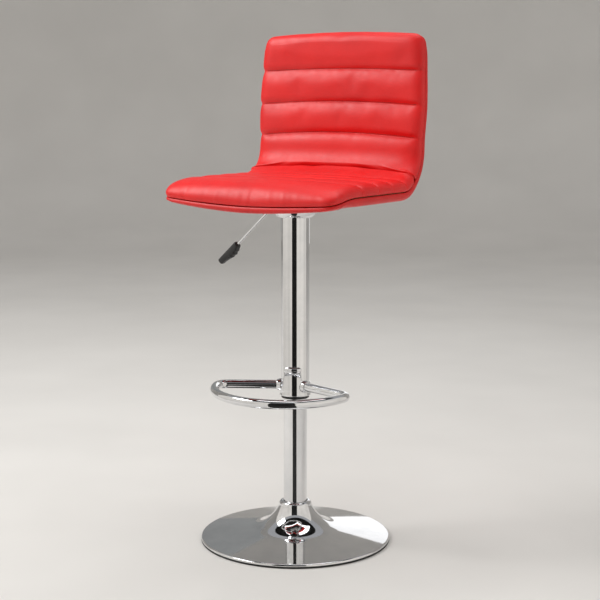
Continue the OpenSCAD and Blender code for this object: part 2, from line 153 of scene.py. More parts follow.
def sweep(name, path, section, closed=False, up=Vector((0, 0, 1)), scale=None):
    """Carries a closed section of (side, up) points along a path, and closes both ends."""
    path = [Vector(p) for p in path]
    count, size = len(path), len(section)
    verts, faces = [], []
    for i, p in enumerate(path):
        before = path[i - 1] if closed or i else path[0]
        after = path[(i + 1) % count] if closed or i < count - 1 else path[-1]
        ahead = (after - before).normalized()
        side = ahead.cross(up).normalized()
        rise = side.cross(ahead)
        k = scale[i] if scale else 1
        verts += [p + side * (u * k) + rise * (v * k) for u, v in section]
    for i in range(count if closed else count - 1):
        faces += strip(size, True, i * size, (i + 1) % count * size)
    if not closed:
        faces += [tuple(range(size))[::-1], tuple(range((count - 1) * size, count * size))]
    return new_object(name, verts, faces)


def circle(r, steps=32):
    return [(r * math.cos(2 * math.pi * k / steps), r * math.sin(2 * math.pi * k / steps))
            for k in range(steps)]


def crease_sharp(piece, angle=35):
    """Keeps true corners crisp while the rest shades smooth."""
    piece.data.set_sharp_from_angle(angle=math.radians(angle))


# ---------------------------------------------------------------- material tools


def linear(code):
    """An sRGB hex colour as linear RGBA."""
    parts = [int(code[i:i + 2], 16) / 255 for i in (1, 3, 5)]
    return [c / 12.92 if c <= 0.04045 else ((c + 0.055) / 1.055) ** 2.4 for c in parts] + [1.0]


def add(tree, kind, sockets=None, **settings):
    """Adds a shader node. A socket given a (node, output) pair is linked, any other value is set."""
    made = tree.nodes.new("ShaderNode" + kind)
    for key, value in settings.items():
        setattr(made, key, value)
    for key, value in (sockets or {}).items():
        if isinstance(value, tuple) and len(value) == 2 and hasattr(value[0], "outputs"):
            tree.links.new(value[0].outputs[value[1]], made.inputs[key])
        else:
            made.inputs[key].default_value = value
    return made


def begin(name):
    """A new material's tree, its coordinates on the piece in metres, and a function that ends it."""
    mat = bpy.data.materials.new(name)
    mat.use_nodes = True
    tree = mat.node_tree
    tree.nodes.clear()
    place = (add(tree, "TexCoord"), "Object")

    def end(sockets, show):
        shader = add(tree, "BsdfPrincipled", sockets)
        add(tree, "OutputMaterial", {"Surface": (shader, "BSDF")})
        mat.diffuse_color = linear(show)
        return mat

    return tree, place, end


def stops(tree, fac, *pairs):
    """A colour ramp with one (position, hex colour) pair for each stop."""
    ramp = add(tree, "ValToRGB", {"Fac": fac})
    line = ramp.color_ramp.elements
    while len(line) < len(pairs):
        line.new(1.0)
    for stop, (at, code) in zip(line, pairs):
        stop.position, stop.color = at, linear(code)
    return ramp, "Color"


def span(tree, value, low, high, start=0.0, end=1.0):
    """Maps start..end of a pattern on to low..high."""
    return add(tree, "MapRange", {
        "Value": value, "From Min": start, "From Max": end, "To Min": low, "To Max": high}), "Result"


def per(size_mm):
    """A pattern's scale from the size of one repeat in millimetres."""
    return 1000.0 / size_mm


# ---------------------------------------------------------------- materials


def faux_leather(name, light, mid, deep):
    """Polyurethane faux leather, calendered over foam: a soft broad shine broken up by a pebble grain."""
    tree, place, end = begin(name)
    # Real pebbles are about 0.7 mm; they are drawn at 1.6 mm so that they still show from a few metres.
    pebble = add(tree, "TexVoronoi", {"Vector": place, "Scale": per(1.6), "Randomness": 0.9},
                 feature="SMOOTH_F1")
    pore = add(tree, "TexVoronoi", {"Vector": place, "Scale": per(0.8)}, feature="DISTANCE_TO_EDGE")
    crumple = add(tree, "TexNoise", {"Vector": place, "Scale": per(14), "Detail": 3.0, "Roughness": 0.55})
    cloud = add(tree, "TexNoise", {"Vector": place, "Scale": per(90), "Detail": 2.0})
    tone = add(tree, "Mix", {
        "Factor": 0.35, "A": (cloud, "Fac"), "B": (pebble, "Distance")}, data_type="FLOAT")
    colour = stops(tree, (tone, 0), (0.25, deep), (0.5, mid), (0.78, light))
    shine = span(tree, (crumple, "Fac"), 0.40, 0.50, 0.3, 0.7)
    grain = add(tree, "Bump", {
        "Height": (pebble, "Distance"), "Strength": 0.16, "Distance": 0.0004}, invert=True)
    pores = add(tree, "Bump", {
        "Height": (pore, "Distance"), "Strength": 0.08, "Distance": 0.0002, "Normal": (grain, "Normal")})
    soft = add(tree, "Bump", {
        "Height": (crumple, "Fac"), "Strength": 0.08, "Distance": 0.0012, "Normal": (pores, "Normal")})
    return end({
        "Base Color": colour, "Roughness": shine, "Normal": (soft, "Normal"), "IOR": 1.5,
        "Specular IOR Level": 0.42, "Coat Weight": 0.06, "Coat Roughness": 0.35}, mid)


def bright_chrome(name):
    """Chromium plating over polished steel: mirror bright, with faint buffing waves and fine scuffs."""
    tree, place, end = begin(name)
    haze = add(tree, "TexNoise", {"Vector": place, "Scale": per(45), "Detail": 4.0, "Roughness": 0.6})
    scuff = add(tree, "TexNoise", {"Vector": place, "Scale": per(3), "Detail": 6.0, "Distortion": 0.4})
    both = add(tree, "Math", {0: (haze, "Fac"), 1: (scuff, "Fac")}, operation="MULTIPLY")
    colour = stops(tree, (haze, "Fac"), (0.3, "#DCDDDF"), (0.7, "#E8E8E9"))
    rough = span(tree, (both, "Value"), 0.03, 0.085, 0.12, 0.42)
    wave = add(tree, "Bump", {"Height": (haze, "Fac"), "Strength": 0.03, "Distance": 0.0006})
    return end({"Base Color": colour, "Metallic": 1.0, "Roughness": rough, "Normal": (wave, "Normal")},
               "#DCDDDF")


def bare_metal(name, dark, light, rough, grit_mm, bump=0.15):
    """Unpolished metal: a fine even grit that dulls the light, with slow changes of tone."""
    tree, place, end = begin(name)
    grit = add(tree, "TexNoise", {"Vector": place, "Scale": per(grit_mm), "Detail": 5.0})
    cloud = add(tree, "TexNoise", {"Vector": place, "Scale": per(25), "Detail": 3.0})
    tone = add(tree, "Mix", {"Factor": 0.5, "A": (grit, "Fac"), "B": (cloud, "Fac")}, data_type="FLOAT")
    colour = stops(tree, (tone, 0), (0.3, dark), (0.7, light))
    shine = span(tree, (cloud, "Fac"), rough - 0.06, rough + 0.08, 0.3, 0.7)
    tooth = add(tree, "Bump", {"Height": (grit, "Fac"), "Strength": bump, "Distance": 0.0003})
    return end({"Base Color": colour, "Metallic": 1.0, "Roughness": shine, "Normal": (tooth, "Normal")},
               light)


def moulded(name, dark, light, rough, spark_mm, bump=0.2, ior=1.49):
    """Moulded plastic or rubber: one even colour with the spark-eroded texture of its mould."""
    tree, place, end = begin(name)
    spark = add(tree, "TexNoise", {"Vector": place, "Scale": per(spark_mm), "Detail": 4.0})
    cloud = add(tree, "TexNoise", {"Vector": place, "Scale": per(30), "Detail": 2.0})
    colour = stops(tree, (cloud, "Fac"), (0.3, dark), (0.7, light))
    shine = span(tree, (spark, "Fac"), rough - 0.07, rough + 0.07, 0.3, 0.7)
    tooth = add(tree, "Bump", {"Height": (spark, "Fac"), "Strength": bump, "Distance": 0.0003})
    return end({"Base Color": colour, "Roughness": shine, "Normal": (tooth, "Normal"), "IOR": ior}, light)


def birch_ply(name):
    """Rotary-cut birch plywood: pale, with long soft figure and thin darker veneer lines."""
    tree, place, end = begin(name)
    long_way = add(tree, "Mapping", {"Vector": place, "Scale": (1.0, 0.12, 1.0)})
    figure = add(tree, "TexNoise", {
        "Vector": (long_way, "Vector"), "Scale": per(12), "Detail": 6.0, "Distortion": 0.6})
    fibre = add(tree, "TexNoise", {"Vector": (long_way, "Vector"), "Scale": per(1.2), "Detail": 3.0})
    colour = stops(tree, (figure, "Fac"), (0.3, "#B98F5E"), (0.55, "#D3AE7C"), (0.8, "#E0C294"))
    rough = span(tree, (fibre, "Fac"), 0.5, 0.68, 0.3, 0.7)
    tooth = add(tree, "Bump", {"Height": (fibre, "Fac"), "Strength": 0.25, "Distance": 0.0002})
    return end({"Base Color": colour, "Roughness": rough, "Normal": (tooth, "Normal"), "IOR": 1.5},
               "#D3AE7C")


def spunbond(name):
    """Spun-bonded black dust cloth: matte, with the small diamond dots of its heat rollers."""
    tree, place, end = begin(name)
    turned = add(tree, "Mapping", {"Vector": place, "Rotation": (0.0, 0.0, math.radians(45))})
    dots = add(tree, "TexVoronoi", {"Vector": (turned, "Vector"), "Scale": per(2.2), "Randomness": 0.0},
               voronoi_dimensions="2D")
    fibre = add(tree, "TexNoise", {"Vector": place, "Scale": per(0.9), "Detail": 5.0})
    colour = stops(tree, (fibre, "Fac"), (0.3, "#101010"), (0.7, "#232323"))
    rough = span(tree, (dots, "Distance"), 0.68, 0.9, 0.1, 0.6)
    press = add(tree, "Bump", {"Height": (dots, "Distance"), "Strength": 0.5, "Distance": 0.0003})
    fuzz = add(tree, "Bump", {
        "Height": (fibre, "Fac"), "Strength": 0.3, "Distance": 0.0002, "Normal": (press, "Normal")})
    return end({"Base Color": colour, "Roughness": rough, "Normal": (fuzz, "Normal"), "IOR": 1.49,
                "Sheen Weight": 0.1}, "#181818")


def twisted_thread(name, dark, light):
    """Bonded polyester thread: low shine, with the slant lines of its twist."""
    tree, place, end = begin(name)
    ply = add(tree, "TexWave", {"Vector": place, "Scale": per(6), "Distortion": 1.0},
              bands_direction="DIAGONAL")
    colour = stops(tree, (ply, "Fac"), (0.2, dark), (0.8, light))
    rough = span(tree, (ply, "Fac"), 0.45, 0.6)
    twist = add(tree, "Bump", {"Height": (ply, "Fac"), "Strength": 0.4, "Distance": 0.0001})
    return end({"Base Color": colour, "Roughness": rough, "Normal": (twist, "Normal"), "IOR": 1.53},
               light)


red_leather = faux_leather("red_faux_leather_pebble_grain", "#F01614", "#E81010", "#D80A0C")
# The same vinyl as the cushions, darker in every stop, for the rear cover under the seat and behind the back: painted
# shade.
shaded_cover_leather = faux_leather("red_faux_leather_cover_painted_shade", "#E81413", "#DE0E0F", "#CC090B")
red_thread = twisted_thread("red_polyester_thread_twisted", "#7C0608", "#A50D10")
chrome = bright_chrome("chromium_plate_polished")
zinc = bare_metal("zinc_plated_steel_passivated", "#9A9C9C", "#C2C4C3", 0.34, 0.9)
ground_steel = bare_metal("hardened_steel_ground", "#8F9194", "#B4B6B8", 0.22, 0.5, 0.08)
mild_steel = bare_metal("mild_steel_turned", "#56585B", "#6E7073", 0.3, 0.6, 0.12)
black_steel = bare_metal("black_oxide_steel_cylinder", "#26272A", "#3A3B3E", 0.33, 0.8)
cast_iron = bare_metal("cast_iron_as_cast", "#2E2E2F", "#454546", 0.62, 2.4, 0.6)
brass = bare_metal("brass_turned", "#B08A3C", "#CDA752", 0.28, 0.8)
rubber = moulded("black_rubber_moulded", "#0E0E0E", "#191919", 0.7, 0.8, 0.35, 1.52)
acetal = moulded("black_acetal_moulded", "#101011", "#1B1B1C", 0.36, 0.7, 0.12, 1.48)
ivory_acetal = moulded("ivory_acetal_moulded", "#D6D0BF", "#E4DFD0", 0.38, 0.8, 0.12, 1.48)
nylon = moulded("black_glass_nylon_moulded", "#121213", "#212223", 0.5, 1.1, 0.45, 1.53)
plywood = birch_ply("birch_plywood_bent")
dust_cloth = spunbond("black_spunbond_cloth")

# ---------------------------------------------------------------- the seat's bent line

SEAT_Z = 0.780            # sitting surface
FALL_R = 0.277            # waterfall at the front of the seat
FALL_Y = -0.090
BEND_R = 0.058            # inside bend between seat and back
BEND_Y = 0.092
LEAN = math.radians(4)
FLAT_END = BEND_Y - FALL_Y
RISE_START = FLAT_END + BEND_R * (math.pi / 2 - LEAN)
RISE_Z = SEAT_Z + BEND_R * (1 - math.sin(LEAN))
CREASE = FLAT_END + BEND_R * math.radians(45)
FRONT_S = -FALL_R * math.asin((FALL_Y - FRONT_Y) / FALL_R)
TOP_S = RISE_START + (TOP_Z - RISE_Z) / math.cos(LEAN)
SEAT_SEAMS = [0.016, 0.075, 0.130, 0.182]
BACK_SEAMS = [0.3032, 0.3699, 0.4400]
SEAM_DROP = {0.3032: 0.011, 0.3699: 0.009, 0.4400: 0.008}
CORNER_R = 0.030          # plan radius of the seat's front corners
BOW = 0.014               # bow of the front edge
TOP_CORNER_R = 0.024
TOP_CROWN = 0.010


def bent(s):
    """Height, depth and slope of the sitting surface, s along it from where the waterfall ends."""
    s = np.asarray(s, float)
    fall = np.clip(-s, 0, None) / FALL_R
    bend = np.clip(s - FLAT_END, 0, RISE_START - FLAT_END) / BEND_R
    rise = np.clip(s - RISE_START, 0, None)
    flat = np.clip(s, 0, FLAT_END)
    y = FALL_Y - FALL_R * np.sin(fall) + flat + BEND_R * np.sin(bend) + rise * math.sin(LEAN)
    z = SEAT_Z - FALL_R * (1 - np.cos(fall)) + BEND_R * (1 - np.cos(bend)) + rise * math.cos(LEAN)
    return y, z, fall + bend, bend


def place(s, x, depth=0.0):
    """Points at (s, x) on the sitting surface, sunk by depth: straight down in the seat, square to the back."""
    y, z, _, turn = bent(s)
    s, x, depth = np.broadcast_arrays(s, x, depth)
    return np.stack([x, y + np.sin(turn) * depth, z - np.cos(turn) * depth], -1)


def facing(s):
    """The way the sitting surface faces, and the way along it."""
    _, _, slope, _ = bent(s)
    none = np.zeros_like(slope)
    return (np.stack([none, -np.sin(slope), np.cos(slope)], -1),
            np.stack([none, np.cos(slope), np.sin(slope)], -1))


def ease(v, a, b):
    f = np.clip((np.asarray(v, float) - a) / (b - a), 0, 1)
    return f * f * (3 - 2 * f)


def front(s):
    """0 on the seat, 1 at its front edge."""
    return ease(-np.asarray(s), -0.005, -FRONT_S - 0.012)


def half_width(s):
    """Half width of the seat and the back, which is narrower and draws in towards its top."""
    return (HALF - 0.0080 * ease(s, FLAT_END - 0.015, 0.245) + 0.0025 * ease(s, 0.30, 0.37)
            - 0.0045 * ease(s, 0.36, 0.46) - 0.0050 * ease(s, 0.44, TOP_S))


def groove_depth(s, x):
    """How deep the groove between front and rear cover lies, all round."""
    across = np.clip(np.abs(x) / 0.2, 0, 1) ** 1.6
    return 0.0290 + front(s) * (0.004 - 0.0045 * across) - 0.0110 * ease(s, FLAT_END - 0.01, RISE_START)


def under_depth(s, x):
    """Depth of the underside and the rear face."""
    across = np.clip(np.abs(x) / 0.2, 0, 1) ** 1.6
    return 0.0485 + front(s) * (0.002 - 0.0090 * across) - 0.0150 * ease(s, FLAT_END - 0.01, RISE_START + 0.02)


def drop(s):
    """How much lower the back's seams run at their ends than in the middle."""
    return np.interp(s, [FLAT_END, CREASE, 0.303, 0.370, 0.440, TOP_S], [0, 0.013, 0.011, 0.008, 0.006, 0.006])


def spaced(curve, fraction):
    """Points at fractions of the length of a curve."""
    curve = np.asarray(curve)
    run = np.concatenate([[0], np.cumsum(np.linalg.norm(np.diff(curve, axis=0), axis=1))])
    at = np.asarray(fraction) * run[-1]
    return np.stack([np.interp(at, run, curve[:, k]) for k in (0, 1)], -1)


def level_rows(rows_s, c, inset_side):
    """(x, s) of straight rows across the seat or back."""
    rows_s = np.asarray(rows_s)[:, None]
    return np.stack([c * (half_width(rows_s) - inset_side), rows_s - drop(rows_s) * c * c], -1)


def end_rows(tau, far, c, end_s, corner, bow, inset_end, inset_side):
    """(x, s) of the rows of a panel with a bowed edge and two round corners. tau is 0 at that edge
    and 1 at far, the row that the panel joins."""
    sign = 1 if far[0, 1] > end_s else -1
    wide = half_width(end_s) - inset_side
    rx, rs = max(corner - inset_side, 0.008), max(corner - inset_end, 0.008)
    cx = wide - rx
    cs = end_s + sign * (inset_end + rs + bow * (cx / HALF) ** 2)

    def corner_arc(start, stop):
        return [(cx + rx * math.cos(a), cs - sign * rs * math.sin(a))
                for a in np.radians(np.linspace(start, stop, 8))]

    right = corner_arc(45, 84)
    right += [(x, end_s + sign * (inset_end + bow * (x / HALF) ** 2))
              for x in np.linspace(right[-1][0], 0, 20)[1:]]
    left = [(-x, s) for x, s in right]
    edge = spaced(left + right[-2::-1], (c + 1) / 2)
    side = corner_arc(45, 0) + [(half_width(s) - inset_side, s)
                                for s in np.linspace(cs, far[-1, 1], 10)[1:]]
    side = spaced(side, tau)
    other = side * [-1, 1]
    t, w = tau[:, None, None], (c[None, :, None] + 1) / 2
    corners = ((1 - t) * ((1 - w) * edge[0] + w * edge[-1]) + t * ((1 - w) * far[0] + w * far[-1]))
    return ((1 - t) * edge + t * far + (1 - w) * other[:, None] + w * side[:, None] - corners)


def steps_between(length, step, fine):
    """Fractions of a length, with a first and a last step that are finer than the rest."""
    count = max(2, round((length - 2 * fine) / step))
    return np.concatenate([[0], np.linspace(fine, length - fine, count + 1), [length]]) / length


class Cut:
    """The cut of one cushion or cover: where its rows and columns lie, for any inset from its edge."""

    def __init__(self, lines, front_round, top_round, step, fine, insets):
        self.c = np.linspace(-1, 1, 2 * round((HALF - insets["side"]) / step) + 1)
        self.front_round, self.top_round, self.insets = front_round, top_round, insets
        self.lines = lines
        self.taus = [steps_between(b - a, step, fine) for a, b in zip(lines, lines[1:])]
        self.seam_rows = np.cumsum([len(t) - 1 for t in self.taus])[:-1]

    def rows(self, inner):
        """(x, s) of every point of the cut: its outer edge pulled in by the insets if inner."""
        side, low, high = [self.insets[k] * inner for k in ("side", "low", "high")]
        last = len(self.taus) - 1
        out = []
        for k, tau in enumerate(self.taus):
            a, b = self.lines[k], self.lines[k + 1]
            if k == 0 and self.front_round:
                far = level_rows([b], self.c, side)[0]
                part = end_rows(tau, far, self.c, a, CORNER_R, BOW, low, side)
            elif k == last and self.top_round:
                far = level_rows([a], self.c, side)[0]
                part = end_rows(tau, far, self.c, b, TOP_CORNER_R, TOP_CROWN, high, side)[::-1]
            else:
                a, b = a + low * (k == 0), b - high * (k == last)
                part = level_rows(a + (b - a) * tau, self.c, side)
            out.append(part if k == last else part[:-1])
        return np.concatenate(out)


def rim_of(grid):
    """The points round the edge of a grid, in order."""
    return np.concatenate([grid[0, :-1], grid[:-1, -1], grid[-1, :0:-1], grid[:0:-1, 0]])


def quilted(name, grids, rings, open_cells=None):
    """A mesh of one or two grids of points, joined round their edge by rings of points."""
    rows, cols = grids[0].shape[:2]
    index = np.arange(rows * cols).reshape(rows, cols)
    verts = [grids[0].reshape(-1, 3), *rings]
    faces = []
    for i in range(rows - 1):
        for j in range(cols - 1):
            if open_cells is None or not open_cells[i, j]:
                faces.append((index[i, j], index[i, j + 1], index[i + 1, j + 1], index[i + 1, j]))
    rim = rim_of(index)
    count = len(rim)
    loops = [rim] + [rows * cols + k * count + np.arange(count) for k in range(len(rings))]
    if len(grids) > 1:
        start = rows * cols + len(rings) * count
        verts.append(grids[1].reshape(-1, 3))
        faces += [tuple(start + np.array([
            index[i, j], index[i + 1, j], index[i + 1, j + 1], index[i, j + 1]]))
            for i in range(rows - 1) for j in range(cols - 1)]
        loops.append(start + rim)
    for a, b in zip(loops, loops[1:]):
        faces += [(a[i], b[i], b[(i + 1) % count], a[(i + 1) % count]) for i in range(count)]
    return new_object(name, np.concatenate(verts), faces)


# ---------------------------------------------------------------- padded seat and back


def swell(distance, length):
    """How far a panel has risen at a distance from its seam: 0 at the seam, 1 past length."""
    u = np.clip(distance / length, 0, 1)
    return (1 - (1 - u) ** 2) ** 0.6


def ripple(x, s, size, seed):
    """Smooth noise over the leather, for lengths of about size."""
    flat = zip((x / size).ravel(), (s / size).ravel())
    return np.array([noise.noise(Vector((a, b, seed))) for a, b in flat]).reshape(x.shape)


def crown(s, x):
    """How far the sitting surface falls towards its sides."""
    c = np.abs(x) / HALF
    seat = 1 - ease(s, FLAT_END, CREASE)
    root = ease(s, CREASE - 0.014, CREASE + 0.002) * (1 - ease(s, CREASE + 0.015, CREASE + 0.065))
    return 0.005 * seat * c ** 2.5 + 0.003 * front(s) * c ** 2 + 0.011 * root * c ** 6


def edge_ring(outer, inner, inset, depth):
    """Points round the edge, inset from it, at a depth."""
    gap = np.linalg.norm(outer - inner, axis=-1)
    keep = 1 - np.clip(inset / gap, 0, 1)
    at = inner + (outer - inner) * keep[:, None]
    return place(at[:, 1], at[:, 0], depth)


def cushion(name, cut, seams, peak, valley, low_length, high_length, crease_low):
    """A stuffed cushion: seamed face, rolled edge, tucked groove and flat underside."""
    outer, inner = cut.rows(0), cut.rows(1)
    x, s = inner[..., 0], inner[..., 1]
    level = s + drop(s) * (x / HALF) ** 2
    rise = np.ones_like(x)
    for seam in seams:
        gap = level - seam
        rise *= np.where(gap > 0, swell(gap, low_length), swell(-gap, high_length))
    pucker = 0.0008 * ripple(x, s, 0.013, 3.0) * (1 - rise)
    height = valley + (peak - valley) * rise + pucker + 0.0003 * ripple(x, s, 0.045, 8.0)
    face, _ = facing(s)
    grid = place(s, x, crown(s, x)) + face * height[..., None]

    rim_out, rim_in = rim_of(outer), rim_of(inner)
    rim_h, rim_n = rim_of(height), rim_of(face)
    out_way = place(rim_out[:, 1], rim_out[:, 0]) - place(rim_in[:, 1], rim_in[:, 0])
    out_way /= np.linalg.norm(out_way, axis=-1)[:, None]
    top = crown(rim_in[:, 1], rim_in[:, 0])
    groove = groove_depth(rim_out[:, 1], rim_out[:, 0])
    at_crease = rim_of(np.broadcast_to(
        (np.arange(len(x)) == (0 if crease_low else len(x) - 1))[:, None], x.shape)).astype(float)
    groove = groove + (0.0065 + crown(rim_out[:, 1], rim_out[:, 0]) - groove) * at_crease
    count = len(rim_in)
    gather = 0.0016 * front(rim_out[:, 1]) * ripple(
        np.cumsum(np.linalg.norm(rim_out - np.roll(rim_out, 1, axis=0), axis=1)), np.zeros(count), 0.011, 5.0)
    rings = []
    for angle in np.radians([16, 32, 48, 63, 77, 90]):
        across = np.sin(angle)
        at = rim_in + (rim_out - rim_in) * across
        depth = top + (0.70 * groove - top) * (1 - np.cos(angle))
        way = rim_n * math.cos(angle) + out_way * math.sin(angle)
        push = rim_h * (1 - 0.4 * across) + gather * across ** 2
        rings.append(place(at[:, 1], at[:, 0], depth) + way * push[:, None])
    rings.append(edge_ring(rim_out, rim_in, 0.0002, groove * 0.84) + out_way * gather[:, None])
    rings.append(edge_ring(rim_out, rim_in, 0.0011, groove - 0.0014) + out_way * (gather * 0.7)[:, None])
    rings.append(edge_ring(rim_out, rim_in, 0.0034, groove - 0.0002))
    rings.append(edge_ring(rim_out, rim_in, 0.0080, np.minimum(groove, 0.0234)))
    under = place(s, x, 0.0236)
    piece = quilted(name, [grid, under], rings)

    held = piece.vertex_groups.new(name="sewn")
    cols = x.shape[1]
    rim_rows = rim_of(np.broadcast_to(np.arange(len(x))[:, None], x.shape))
    sewn = [int(r) * cols + j for r in cut.seam_rows for j in range(cols)]
    first_ring = x.size
    for k in range(len(rings)):
        for i, row in enumerate(rim_rows):
            if k >= len(rings) - 2 or row in cut.seam_rows:
                sewn.append(first_ring + k * count + i)
    first_under = first_ring + len(rings) * count
    sewn += range(first_under, first_under + x.size)
    held.add(sewn, 1.0, "REPLACE")
    return piece


def evened(piece, moved, times):
    """The same movement without its small crumples: each point takes the mean of its neighbours."""
    pairs = np.array([e.vertices[:] for e in piece.data.edges])
    number = np.bincount(pairs.ravel(), minlength=len(moved))[:, None]
    sewn = np.array([len(v.groups) > 0 for v in piece.data.vertices])
    for _ in range(times):
        total = np.zeros_like(moved)
        np.add.at(total, pairs[:, 0], moved[pairs[:, 1]])
        np.add.at(total, pairs[:, 1], moved[pairs[:, 0]])
        moved = 0.5 * moved + 0.5 * total / number
        moved[sewn] = 0
    return moved


def inflate(piece, most, pressure=4.0, slack=0.004, keep=0.12):
    """Fills a cushion by a cloth simulation whose sewn points stay put, no point moving more than most."""
    start = np.array([v.co for v in piece.data.vertices])
    cloth = piece.modifiers.new("filling", "CLOTH")
    fabric = cloth.settings
    fabric.quality = 6
    fabric.mass = 0.3
    fabric.tension_stiffness = fabric.compression_stiffness = 12
    fabric.shear_stiffness = 6
    fabric.bending_stiffness = 6.0
    fabric.use_pressure = True
    fabric.uniform_pressure_force = pressure
    fabric.vertex_group_mass = "sewn"
    fabric.shrink_min = -slack
    fabric.effector_weights.gravity = 0
    cloth.point_cache.frame_start, cloth.point_cache.frame_end = 1, 20
    scene = bpy.context.scene
    for step in range(1, 21):
        scene.frame_set(step)
    shown = piece.evaluated_get(bpy.context.evaluated_depsgraph_get())
    moved = np.array([v.co for v in shown.data.vertices]) - start
    far = np.linalg.norm(moved, axis=1)
    moved *= np.minimum(1, most / np.maximum(far, 1e-9))[:, None]
    moved = keep * moved + (1 - keep) * evened(piece, moved, 8)
    piece.modifiers.clear()
    scene.frame_set(1)
    piece.data.vertices.foreach_set("co", (start + moved).ravel())
    piece.data.update()
    print(f"{piece.name}: filled, {far.mean() / MM:.1f} mm on average, {far.max() / MM:.1f} at most")


seat_cut = Cut([FRONT_S, *SEAT_SEAMS, CREASE], True, False, 0.006, 0.0025,
               {"side": 0.026, "low": 0.034, "high": 0.005})
back_cut = Cut([CREASE + 0.0006, *BACK_SEAMS, TOP_S], False, True, 0.006, 0.0025,
               {"side": 0.025, "low": 0.006, "high": 0.020})
seat_cushion = cushion("seat_cushion", seat_cut, SEAT_SEAMS, 0.0012, -0.0036, 0.020, 0.024, False)
back_cushion = cushion("back_cushion", back_cut, BACK_SEAMS, 0.0025, -0.0060, 0.014, 0.034, True)
for piece, most, pressure in ((seat_cushion, 0.003, 3.0), (back_cushion, 0.003, 4.0)):
    inflate(piece, most, pressure)
    subdivide(piece, 2)

# ---------------------------------------------------------------- rear cover, shell and dust cloth

WINDOW_C = 0.93           # the opening under the seat, as a share of its half width
WINDOW = (-0.062, 0.176)  # and where it starts and ends along the seat


def underside(s, x):
    """Depth of the rear cover: padded at the border and over the back, tight where it is stapled."""
    seat = 1 - ease(s, FLAT_END - 0.008, FLAT_END + 0.022)
    border = ease(np.abs(x), HALF - 0.032, HALF - 0.012)
    nose = ease(-s, -WINDOW[0] + 0.004, -FRONT_S - 0.010)
    tight = seat * (1 - np.maximum(border, nose))
    back = ease(s, RISE_START, RISE_START + 0.05) * (1 - (np.abs(x) / HALF) ** 4) * (
        1 - ease(s, TOP_S - 0.06, TOP_S))
    return under_depth(s, x) - 0.0137 * tight + 0.003 * back


cover_cut = Cut([FRONT_S, WINDOW[0], WINDOW[1], CREASE + 0.006, 0.3032, 0.40, TOP_S], True, True, 0.008, 0.003,
                {"side": 0.020, "low": 0.018, "high": 0.018})


def rear_cover():
    outer, inner = cover_cut.rows(0), cover_cut.rows(1)
    x, s = inner[..., 0], inner[..., 1]
    grid = place(s, x, underside(s, x) + 0.0005 * ripple(x, s, 0.05, 2.0))
    rim_out, rim_in = rim_of(outer), rim_of(inner)
    xo, so = rim_out[:, 0], rim_out[:, 1]
    low, groove = under_depth(so, xo), groove_depth(so, xo)
    count = len(xo)
    run = np.cumsum(np.linalg.norm(rim_out - np.roll(rim_out, 1, axis=0), axis=1))
    corner = front(so) * ease(np.abs(xo), 0.165, 0.2)
    gather = (0.0005 + 0.0012 * corner) * ripple(run, np.zeros(count), 0.009, 1.0)
    rings = [edge_ring(rim_out, rim_in, inset + gather * k, low + (groove - low) * f + extra) for inset, f, extra, k in (
        (0.0125, 0.0, -0.0006, 0.2), (0.0070, 0.0, -0.0022, 0.6), (0.0030, 0.0, -0.0055, 1.0),
        (0.0008, 0.52, 0.0, 1.0), (0.0003, 1.0, 0.0052, 1.0), (0.0010, 1.0, 0.0024, 0.6),
        (0.0026, 1.0, 0.0008, 0.2), (0.0050, 1.0, 0.0009, 0.0), (0.0076, 1.0, 0.0032, 0.0))]
    cols = x.shape[1]
    rows = len(x)
    first = cover_cut.seam_rows
    c = cover_cut.c
    cell_c = np.abs((c[1:] + c[:-1]) / 2)
    hole = np.zeros((rows - 1, cols - 1), bool)
    hole[first[0]:first[1], :] = cell_c < WINDOW_C
    piece = quilted("rear_cover", [grid], rings, hole)
    piece.data.flip_normals()
    sheet = piece.modifiers.new("thickness", "SOLIDIFY")
    sheet.thickness, sheet.offset = 0.0012, -1.0
    subdivide(piece, 1)
    return piece


cover = rear_cover()


def dust_sheet():
    """The cloth over the opening, lapped 9 mm on to the leather."""
    rows = np.linspace(WINDOW[0] - 0.009, WINDOW[1] + 0.009, 44)
    c = np.linspace(-1, 1, 56)
    half = (HALF - 0.020) * WINDOW_C + 0.009
    corner = 0.012
    x = np.broadcast_to(c * half, (44, 56)).copy()
    s = np.broadcast_to(rows[:, None], (44, 56)).copy()
    flat = ease(np.abs(x), 0.100, half - 0.012)
    ends = np.maximum(ease(-s, 0.0 - 0.006, -WINDOW[0] - 0.004), ease(s, 0.172, 0.178))
    over = np.maximum(flat, ends)
    depth = 0.0340 + (underside(s, x) + 0.0005 - 0.0340) * over + 0.0004 * over * ripple(x, s, 0.02, 4.0)
    grid = place(s, x, depth)
    index = np.arange(x.size).reshape(x.shape)
    faces = [(index[i, j], index[i + 1, j], index[i + 1, j + 1], index[i, j + 1])
             for i in range(43) for j in range(55)]
    piece = new_object("dust_cloth", grid.reshape(-1, 3), faces)
    sheet = piece.modifiers.new("thickness", "SOLIDIFY")
    sheet.thickness, sheet.offset = 0.0003, 1.0
    subdivide(piece, 1)
    return piece


dust = dust_sheet()


def ply_shell():
    cut = Cut([FRONT_S + 0.004, 0.0, FLAT_END, CREASE, RISE_START, TOP_S - 0.010], True, True, 0.012, 0.004,
              {"side": 0.0105, "low": 0.010, "high": 0.010})
    inner = cut.rows(1)
    x, s = inner[..., 0], inner[..., 1]
    upper, lower = place(s, x, 0.0242), place(s, x, np.minimum(0.033, under_depth(s, x) - 0.0035))
    rx, rs = rim_of(x), rim_of(s)
    piece = quilted("ply_shell", [upper, lower], [place(rs, rx, 0.0246), place(rs, rx, 0.0250)])
    subdivide(piece, 1)
    return piece


shell = ply_shell()
# ---------------------------------------------------------------- stitching and staples


